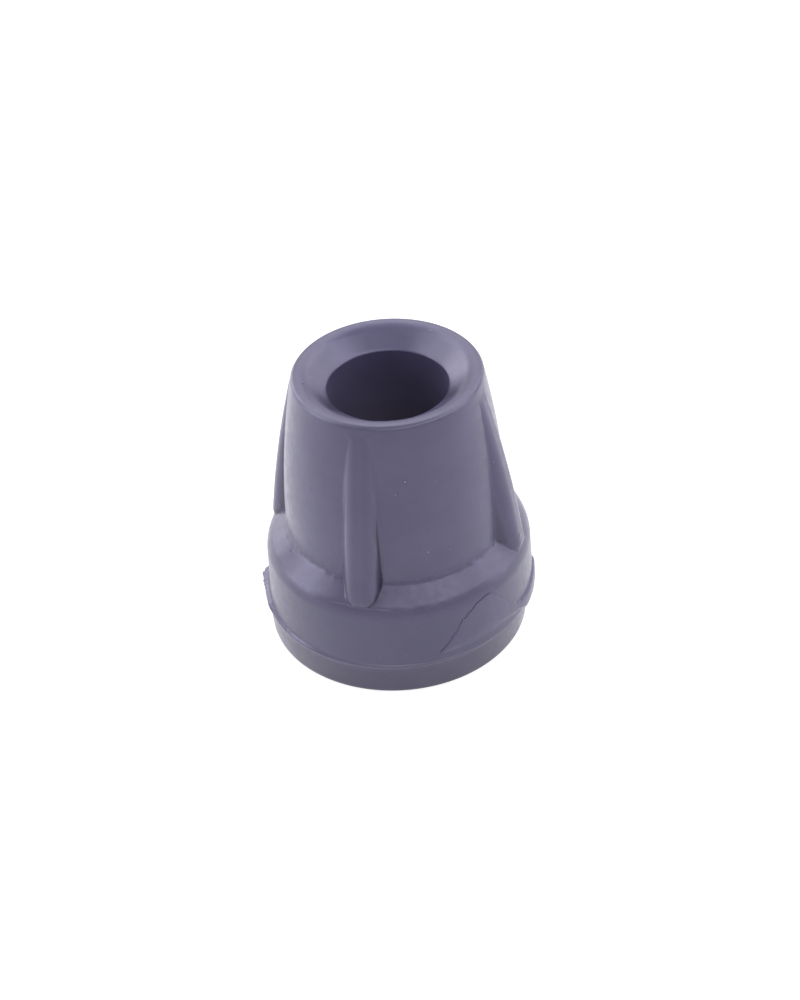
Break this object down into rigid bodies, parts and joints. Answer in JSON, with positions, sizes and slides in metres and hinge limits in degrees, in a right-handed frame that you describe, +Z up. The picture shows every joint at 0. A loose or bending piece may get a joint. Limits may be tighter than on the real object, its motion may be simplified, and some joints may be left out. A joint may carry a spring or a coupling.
{
  "type": "rubber cane tip",
  "caption": "Moulded rubber tip for a walking cane: tapered tower with stiffening ribs, sloped shoulder, skirt and ringed tread disc round a blind bore.",
  "frame": {"origin": "on the bore's axis, at the underside of the tread where the tip stands on the floor", "axes": "+Z up along the bore, out of its mouth; the four ribs stand a quarter turn apart, a few degrees clockwise of +X, +Y, -X and -Y seen from above, and the tread disc sits a little towards -X"},
  "size_m": [0.0456, 0.0438, 0.048],
  "materials": {
    "rubber": "satin grey moulded rubber"
  },
  "bodies": {
    "root": {"cane_tip": "rubber"}
  },
  "joints": []
}
